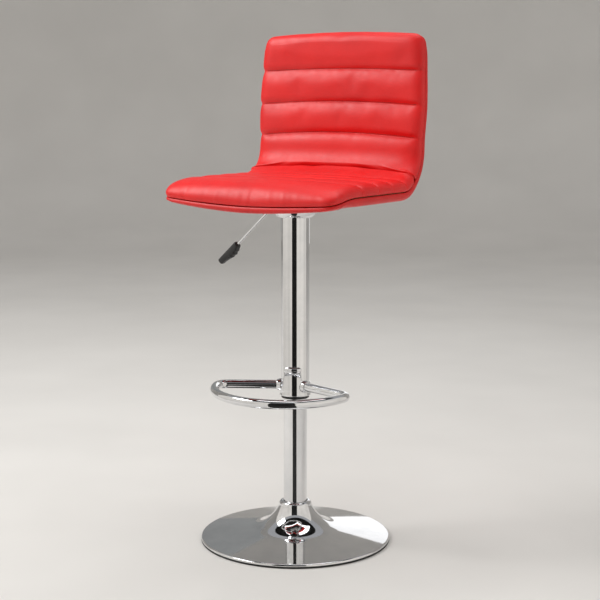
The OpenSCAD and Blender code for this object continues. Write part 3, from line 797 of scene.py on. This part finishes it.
def capsule(at, along, up, length, radius, bend=0.0):
    """A short thread or wire lying on a surface: its ends dip into it."""
    side = along.cross(up).normalized()
    verts, faces = [], []
    stations = ((-0.5, -1.2, 0.5), (-0.36, 0.0, 0.95), (0.0, 0.45 + bend, 1.0), (0.36, 0.0, 0.95), (0.5, -1.2, 0.5))
    for where, lift, width in stations:
        middle = at + along * (length * where) + up * (radius * lift)
        verts += [middle + side * (radius * width * u) + up * (radius * width * v) for u, v in circle(1, 6)]
    for k in range(len(stations) - 1):
        faces += strip(6, True, k * 6, (k + 1) * 6)
    faces += [tuple(range(6))[::-1], tuple(range(24, 30))]
    return verts, faces


def many(name, parts):
    """One object from many small ones."""
    verts, faces = [], []
    for v, f in parts:
        faces += [tuple(i + len(verts) for i in face) for face in f]
        verts += v
    return new_object(name, verts, faces)


def seam_stitches(name, piece, seams, pitch=0.005, length=0.0036):
    """A row of thread along each seam, laid on the finished leather."""
    skin = BVHTree.FromObject(piece, bpy.context.evaluated_depsgraph_get())
    parts = []
    for seam in seams:
        width = half_width(seam) - 0.016
        count = int(2 * width / pitch)
        for k in range(count):
            x = -width + (k + 0.5) * 2 * width / count
            s = seam - drop(seam) * (x / HALF) ** 2 + 0.0012
            face = Vector(facing(s)[0])
            at = Vector(place(s, x)) + face * 0.02
            hit, normal, _, _ = skin.ray_cast(at, -face, 0.06)
            if hit:
                along = Vector((1, 0, 0)) - normal * normal.x
                parts.append(capsule(hit + normal * 0.0001, along.normalized(), normal, length, 0.0005))
    return many(name, parts)


seat_thread = seam_stitches("seat_stitches", seat_cushion, SEAT_SEAMS)
back_thread = seam_stitches("back_stitches", back_cushion, BACK_SEAMS)


def staple_row():
    """Wire staples that hold the dust cloth, 30 mm apart."""
    skin = BVHTree.FromObject(dust, bpy.context.evaluated_depsgraph_get())
    half = (HALF - 0.020) * WINDOW_C + 0.003
    low, high = WINDOW[0] - 0.004, WINDOW[1] + 0.004
    spots = []
    for s in np.arange(low + 0.02, high - 0.01, 0.03):
        spots += [(s, -half, Vector((0, 1, 0))), (s, half, Vector((0, 1, 0)))]
    for x in np.arange(-half + 0.02, half - 0.01, 0.03):
        spots += [(low, x, Vector((1, 0, 0))), (high, x, Vector((1, 0, 0)))]
    parts = []
    for s, x, way in spots:
        at = Vector(place(s, x, 0.09))
        hit, normal, _, _ = skin.ray_cast(at, Vector((0, 0, 1)), 0.1)
        if hit:
            parts.append(capsule(hit + normal * 0.0001, (way - normal * way.dot(normal)).normalized(), normal,
                                 0.010, 0.0005))
    return many("staples", parts)


staples = staple_row()

# ---------------------------------------------------------------- base and column

RIM_R, NECK_Z = rim_hi.x, rim_hi.z
SHEET = 0.0016
TUBE_R, SHROUD_R = tube_hi.x, shroud_hi.x


def turn(cx, cz, r, start, stop, steps=12):
    """Points of an arc, in degrees."""
    return [(cx + r * math.cos(a), cz + r * math.sin(a)) for a in np.radians(np.linspace(start, stop, steps + 1))]


def trumpet(inset):
    """The pressed base's outline from its neck to its rim: lip, flare, cone and rolled edge."""
    lip_r, flare_r, cone = 0.008, 0.080, math.radians(9)
    flare_x = TUBE_R + 0.005 + flare_r
    edge_x, edge_z = RIM_R - 0.0035, rim_lo.z + 0.0055
    flare_end = flare_x - flare_r * math.sin(cone)
    flare_z = edge_z + (edge_x - flare_end) * math.tan(cone) + flare_r * math.cos(cone)
    lip_z = NECK_Z - lip_r
    start = math.degrees(math.asin((flare_z - lip_z) / flare_r))
    lip_x = flare_x - flare_r * math.cos(math.radians(start)) - lip_r
    return (turn(lip_x, lip_z, lip_r - inset, 98, 0, 14)
            + turn(flare_x, flare_z, flare_r + inset, 180 + start, 270 - 9, 40)[1:]
            + turn(edge_x - 0.0005, edge_z - 0.0043, 0.0043 - inset, 81, 0, 10))


base = lathe("trumpet_base", trumpet(0) + [(RIM_R, rim_lo.z), (RIM_R - SHEET, rim_lo.z)] + trumpet(SHEET)[::-1], 192)
foot_rubber = lathe("floor_rubber", fillet([
    (RIM_R - 0.0138, 0), (RIM_R, 0), (RIM_R, rim_lo.z - 0.0001), (RIM_R - 0.0022, rim_lo.z - 0.0001),
    (RIM_R - 0.0022, ring_hi.z), (RIM_R - 0.0138, ring_hi.z)], [0.0008, 0.001, 0.0004, 0, 0.0006, 0.0006]), 160)
lower_tube = lathe("lower_column", fillet([
    (TUBE_R - 0.0015, tube_lo.z), (TUBE_R, tube_lo.z), (TUBE_R, tube_hi.z), (TUBE_R - 0.0015, tube_hi.z)],
    [0.0003] * 4, 3), 96)
upper_tube = lathe("upper_column", fillet([
    (SHROUD_R - 0.0015, shroud_lo.z), (SHROUD_R, shroud_lo.z), (SHROUD_R, shroud_hi.z),
    (SHROUD_R - 0.0015, shroud_hi.z)], [0.0003, 0.0004, 0.0004, 0.0003], 3), 96)
slide_top = slide_lo.z + 0.006
slide = lathe("slide_ring_moulding", fillet([
    (TUBE_R + 0.00005, slide_lo.z), (SHROUD_R - 0.0006, slide_lo.z), (SHROUD_R, slide_lo.z + 0.0018),
    (SHROUD_R, slide_top - 0.00005), (SHROUD_R - 0.00155, slide_top - 0.00005),
    (SHROUD_R - 0.00155, slide_hi.z), (TUBE_R + 0.00005, slide_hi.z)],
    [0.0005, 0.0008, 0.001, 0.0003, 0, 0.0004, 0.0004]), 96)
cup_r = bell_hi.x
bell_line = [(SHROUD_R + 0.0003, bell_lo.z + 0.014, 0.014)]
cx, cz, cr = bell_line[0]
bell = lathe("column_cup", turn(cx, cz, cr, -88, 0, 16) + [(cx + cr + 0.0002, bell_hi.z - 0.0004), (cx + cr, bell_hi.z)]
             + [(cx + cr - 0.0012, bell_hi.z)] + turn(cx, cz, cr - 0.0012, 0, -88, 16), 128)

# ---------------------------------------------------------------- footrest

FOOT_TURN = math.radians(10.5)
SWEEP = math.radians(22.5)
ARC_R, ARC_Y, BEND, ROOT_Y = 0.150, 0.046, 0.024, 0.014
BAR_R = (bar_hi.z - bar_lo.z) / 2
FOOT_Z = (bar_hi.z + bar_lo.z) / 2


def turned(points):
    """Turns points drawn with the footrest ahead along -Y to how the shroud stands."""
    c, s = math.cos(FOOT_TURN), math.sin(FOOT_TURN)
    return [Vector((x * c - y * s, x * s + y * c, z)) for x, y, z in points]


def footrest_path():
    """Right arm, right corner, front arc, and back by the left corner and arm."""
    root = np.array([SHROUD_R + 0.0005, ROOT_Y])
    ahead, side = np.array([math.cos(SWEEP), math.sin(SWEEP)]), np.array([-math.sin(SWEEP), math.cos(SWEEP)])
    start = root + BEND * side - [0, ARC_Y]
    b = start @ ahead
    reach = -b + math.sqrt(b * b - start @ start + (ARC_R - BEND) ** 2)
    corner = root + reach * ahead + BEND * side
    meet = math.atan2(corner[1] - ARC_Y, corner[0])
    half = [root + ahead * reach * k / 14 for k in range(14)]
    half += [corner + BEND * np.array([math.cos(a), math.sin(a)])
             for a in np.linspace(SWEEP - math.pi / 2, meet, 22)]
    half += [np.array([0, ARC_Y]) + ARC_R * np.array([math.cos(a), math.sin(a)])
             for a in np.linspace(meet, math.pi / 2, 70)[1:]]
    both = half + [p * [-1, 1] for p in half[-2::-1]]
    return turned([(x, -y, FOOT_Z) for x, y in both])


bar = sweep("footrest_bar", footrest_path(), circle(BAR_R, 40))
crease_sharp(bar)

SADDLE_R = SHROUD_R + 0.0022
saddle_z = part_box("footrest_collar")[0].z
TONGUE_TURN = 15          # degrees from the footrest's heading
SKIRT = [(0, 57), (27, 57), (31, 56), (33, 51), (36, 40), (41, 30), (47, 23), (54, 17.5), (62, 14), (68, 20),
         (74, 25), (80, 27), (110, 27.5), (180, 27.5)]


def saddle_height(angle):
    """Height of the saddle's top edge, by angle from the footrest's front in degrees."""
    away, high = zip(*SKIRT)
    return float(np.interp(abs((angle - TONGUE_TURN + 180) % 360 - 180), away, high)) * MM


def make_saddle():
    """Pressed saddle: a tall front tongue that sweeps down into a band round the shroud."""
    steps, rows = 240, 16
    verts, faces = [], []
    layers = [(SADDLE_R - 0.0022 + 0.00006, k / rows) for k in range(rows, -1, -1)]
    layers += [(SADDLE_R, k / rows) for k in range(0, rows + 1)]
    for r, f in layers:
        for k in range(steps):
            angle = -180 + 360 * k / steps
            high = saddle_height(angle)
            edge = min(f * high, (1 - f) * high) / 0.0007
            r_here = r - (0.0006 * (1 - min(1, edge)) ** 2 if r == SADDLE_R else 0)
            flare = 0.0016 * max(0, 1 - f * high / 0.006) ** 2 if r == SADDLE_R else 0
            a = math.radians(angle)
            verts.append(((r_here + flare) * math.sin(a), -(r_here + flare) * math.cos(a), saddle_z + f * high))
    for i in range(len(layers)):
        faces += strip(steps, True, i * steps, (i + 1) % len(layers) * steps)
    return new_object("footrest_saddle", turned(verts), faces)


saddle = make_saddle()


def make_roll():
    """The tongue's rolled top: a flattened bead with round ends."""
    path, widths = [], []
    for k in range(49):
        angle = math.radians(TONGUE_TURN - 33 + 66 * k / 48)
        path.append(((SADDLE_R + 0.0013) * math.sin(angle), -(SADDLE_R + 0.0013) * math.cos(angle), saddle_z + 0.0565))
        edge = min(k, 48 - k) / 5
        widths.append(max(0.12, math.sqrt(max(0, 1 - max(0, 1 - edge) ** 2))))
    section = [(0.0034 * u, 0.0062 * v) for u, v in circle(1, 28)]
    return sweep("saddle_roll", turned(path), section, scale=widths)


roll = make_roll()


def make_socket(name, side):
    """A socket drawn out of the saddle for one arm, with a small fillet at its root."""
    root = np.array([side * (SHROUD_R + 0.0005), -ROOT_Y])
    way = np.array([side * math.cos(SWEEP), -math.sin(SWEEP)])
    stations = [(-0.006, 0.0040), (-0.002, 0.0036), (0.0006, 0.0029), (0.0025, 0.0023), (0.0045, 0.0019),
                (0.0056, 0.0013), (0.0060, 0.0004)]
    path = [(*(root + way * d), FOOT_Z) for d, _ in stations]
    widths = [(BAR_R + grow) / BAR_R for _, grow in stations]
    return sweep(name, turned(path), circle(BAR_R, 36), scale=widths)


sockets = [make_socket("arm_socket_left", 1), make_socket("arm_socket_right", -1)]

# ---------------------------------------------------------------- lever

DROOP = math.radians(42.5)
PIVOT = Vector((-0.036, 0, 0.7348))
REACH, GRIP = 0.221, 0.064
lever_way = Vector((-math.cos(DROOP), 0, -math.sin(DROOP)))
lever_up = Vector((-math.sin(DROOP), 0, math.cos(DROOP)))


def on_lever(u, v, w=0.0):
    """A point u along the lever, v above it and w to its side."""
    return PIVOT + lever_way * u + lever_up * v + Vector((0, w, 0))


def belly(u):
    """Depth of the handle below the rod in mm, u from its tip."""
    ribs = 0.9 * math.sin(math.radians(2250 * u)) if 0.45 < u < 0.85 else 0
    return 6.5 + 6.5 * math.sin(math.pi * u ** 1.5) ** 1.3 + ribs


def make_handle():
    """Moulded grip: straight top, ribbed belly, slightly wider in the middle, with round corners."""
    rows = 84
    verts, faces = [], []
    size = 32
    for k in range(rows + 1):
        u = k / rows
        end = min(1, math.sqrt(max(0, 1 - max(0, 1 - min(u, 1 - u) * GRIP / 0.0035) ** 2)) + 0.02)
        top, low = 0.007 * (0.72 + 0.28 * end), belly(u) * MM * (0.62 + 0.38 * end)
        wide = (0.0078 + 0.0012 * math.sin(math.pi * u)) * (0.55 + 0.45 * end)
        for cx_, cz_ in circle(1, size):
            sx = math.copysign(abs(cx_) ** 0.62, cx_)
            sz = math.copysign(abs(cz_) ** 0.62, cz_)
            verts.append(on_lever(REACH - u * GRIP, (top + low) / 2 * sz + (top - low) / 2, wide * sx))
    for k in range(rows):
        faces += strip(size, True, k * size, (k + 1) * size)
    faces += [tuple(range(size))[::-1], tuple(range(rows * size, (rows + 1) * size))]
    piece = new_object("lever_grip", verts, faces)
    crease_sharp(piece, 50)
    return piece


grip = make_handle()

# ---------------------------------------------------------------- materials, bodies and CAD nodes


def dress(piece, body, material, slot, *nodes):
    """Gives a piece its material, the body it rides on and the CAD nodes it stands for."""
    piece.data.materials.clear()
    piece.data.materials.append(material)
    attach(piece, body)
    if nodes:
        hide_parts(*nodes)


dress(seat_cushion, "seat", red_leather, "seat_vinyl", "seat_pad")
dress(back_cushion, "seat", red_leather, "seat_vinyl", "back_pad")
dress(cover, "seat", shaded_cover_leather, "seat_vinyl", "outer_cover")
dress(seat_thread, "seat", red_thread, "seat_vinyl")
dress(back_thread, "seat", red_thread, "seat_vinyl")
dress(dust, "seat", dust_cloth, "dust_cloth", "dust_cover")
dress(staples, "seat", zinc, "zinc")
dress(shell, "seat", plywood, "plywood", "seat_shell")
dress(base, "base", chrome, "chrome", "base_plate")
dress(foot_rubber, "base", rubber, "rubber", "floor_ring")
dress(lower_tube, "base", chrome, "chrome", "standing_tube")
dress(upper_tube, "shroud", chrome, "chrome", "shroud_tube")
dress(slide, "shroud", acetal, "black_plastic", "slide_ring")
dress(bell, "seat", chrome, "chrome", "column_bell")
dress(bar, "shroud", chrome, "chrome", "footrest_ring")
dress(saddle, "shroud", chrome, "chrome", "footrest_collar")
dress(roll, "shroud", chrome, "chrome")
for socket in sockets:
    dress(socket, "shroud", chrome, "chrome")
dress(grip, "lever", nylon, "black_plastic", "lever_handle")

NODE_MATERIALS = {
    cast_iron: ["ballast_plate"],
    mild_steel: ["base_hub", "foot_plug", "retaining_clip", "taper_socket", "lever_pin"],
    zinc: ["hub_screws", "piston_nut", "clip_washer", "seat_bracket_housing", "seat_plate", "lever_bracket",
           "plate_screws", "tee_nuts", "collar_screws", "valve_pin"],
    ground_steel: ["lower_race", "bearing_balls", "piston_rod", "upper_race"],
    black_steel: ["gas_cylinder"],
    brass: ["ball_cage", "piston", "valve_body"],
    rubber: ["rubber_bumper", "piston_seal", "rod_seal", "floor_ring"],
    ivory_acetal: ["guide_bush", "rod_guide", "shroud_top_ring"],
    acetal: ["slide_ring"],
    nylon: ["lever_handle"],
    chrome: ["base_plate", "standing_tube", "column_bell", "shroud_tube", "footrest_collar", "footrest_ring",
             "lever_rod"],
    red_leather: ["seat_pad", "back_pad"],
    shaded_cover_leather: ["outer_cover"],
    plywood: ["seat_shell"],
    dust_cloth: ["dust_cover"],
}
for material, names in NODE_MATERIALS.items():
    for name in names:
        for place_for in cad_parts[name].material_slots:
            place_for.material = material

# ---------------------------------------------------------------- camera, floor and light

AZ, EL, FAR = math.radians(35.14), math.radians(7.79), 2.97
across = Vector((math.cos(AZ), math.sin(AZ), 0))
toward = Vector((math.sin(AZ) * math.cos(EL), -math.cos(AZ) * math.cos(EL), math.sin(EL)))


def linked(name, data):
    made = bpy.data.objects.new(name, data)
    bpy.context.scene.collection.objects.link(made)
    return made


camera = linked("camera", bpy.data.cameras.new("camera"))
camera.data.sensor_width, camera.data.lens, camera.data.shift_y = 36, 84.44, -0.04
camera.location = across * 0.0102 + Vector((0, 0, 0.5702)) + toward * FAR
camera.rotation_euler = (-toward).to_track_quat("-Z", "Y").to_euler()
bpy.context.scene.camera = camera
bpy.context.scene.view_settings.view_transform = "Standard"


def painted(name, dark, light, rough):
    """Matt studio paint with a slight unevenness."""
    tree, place, end = begin(name)
    cloud = add(tree, "TexNoise", {"Vector": place, "Scale": per(400), "Detail": 2.0})
    colour = stops(tree, (cloud, "Fac"), (0.3, dark), (0.7, light))
    dull = span(tree, (cloud, "Fac"), rough, rough + 0.1)
    tooth = add(tree, "Bump", {"Height": (cloud, "Fac"), "Strength": 0.02, "Distance": 0.001})
    return end({"Base Color": colour, "Roughness": dull, "Normal": (tooth, "Normal")}, light)


floor = lathe("studio_floor", [(0.001, -0.0005), (5.2, -0.0005), (5.9, 0.1), (6.4, 0.4), (6.7, 1.0), (6.8, 6.0)],
              96, closed=False)
floor.data.materials.append(painted("studio_paint_pale", "#DEDBD6", "#E3E0DB", 0.8))


def only_mirrored(cloth, material):
    """A card that shows in the chrome and in nothing else."""
    cloth.data.materials.append(material)
    cloth.visible_camera = cloth.visible_diffuse = cloth.visible_shadow = False


def hung(name, start, stop, low, high, far, material):
    """A card hung in an arc round the stool, by angle from the camera in degrees."""
    verts = []
    for k in range(25):
        a = AZ - math.pi / 2 + math.radians(start + (stop - start) * k / 24)
        verts += [(far * math.cos(a), far * math.sin(a), low), (far * math.cos(a), far * math.sin(a), high)]
    only_mirrored(new_object(name, verts, [(2 * k, 2 * k + 1, 2 * k + 3, 2 * k + 2) for k in range(24)]), material)


def laid(name, start, stop, near, far, height, material):
    """A card laid level, a wedge of a ring by angle from the camera in degrees."""
    verts = []
    for k in range(25):
        a = AZ - math.pi / 2 + math.radians(start + (stop - start) * k / 24)
        verts += [(r * math.cos(a), r * math.sin(a), height) for r in (near, far)]
    only_mirrored(new_object(name, verts, [(2 * k, 2 * k + 1, 2 * k + 3, 2 * k + 2) for k in range(24)]), material)


def glowing(name, tone, strength):
    """A lit card, a little brighter in patches."""
    tree, place, end = begin(name)
    cloud = add(tree, "TexNoise", {"Vector": place, "Scale": per(900), "Detail": 1.0})
    lit = span(tree, (cloud, "Fac"), strength * 0.85, strength * 1.1, 0.3, 0.7)
    return end({"Base Color": linear("#101010"), "Emission Color": linear(tone), "Emission Strength": lit}, tone)


black_card = painted("studio_black", "#0B0B0A", "#12110F", 0.9)
warm_card = glowing("studio_card_warm", "#F3EEE6", 0.85)
white_card = glowing("studio_card_white", "#FFFFFF", 1.25)
dim_card = glowing("studio_card_grey", "#BFC1C0", 0.5)
hung("flag", -25, 12.5, 0.0, 1.6, 1.5, black_card)
hung("warm_wall_left", -115, -25, 0.0, 1.6, 1.5, warm_card)
hung("warm_wall_right", 12.5, 100, 0.0, 1.6, 1.5, warm_card)
laid("floor_flag", -25, 12.5, 0.24, 1.5, 0.002, black_card)
laid("dark_ceiling", -180, 180, 0.001, 3.4, 4.6, black_card)
hung("far_wall_left", 182, 210, 0.35, 1.9, 3.0, dim_card)
hung("far_window_right", 158, 178.5, 0.3, 1.3, 3.0, white_card)


def soft_box(name, at, size, power, tint=(1, 1, 1)):
    light = bpy.data.lights.new(name, "AREA")
    light.shape, light.size, light.size_y, light.energy, light.color = "RECTANGLE", *size, power, tint
    box = linked(name, light)
    box.location = at
    box.rotation_euler = (Vector((0, 0, 0.7)) - Vector(at)).to_track_quat("-Z", "Y").to_euler()
    return box


soft_box("key_light", (-2.6, -1.7, 3.2), (2, 2), 105)
soft_box("side_light", (3.2, -0.4, 1.8), (1.6, 2.4), 12, (1, 0.98, 0.95))
soft_box("top_light", (0.0, 0.3, 3.6), (2.5, 2.5), 45)
world = bpy.data.worlds.new("studio_air")
bpy.context.scene.world = world
world.use_nodes = True
world.node_tree.nodes["Background"].inputs["Color"].default_value = (0.96, 0.97, 1, 1)
world.node_tree.nodes["Background"].inputs["Strength"].default_value = 0.4
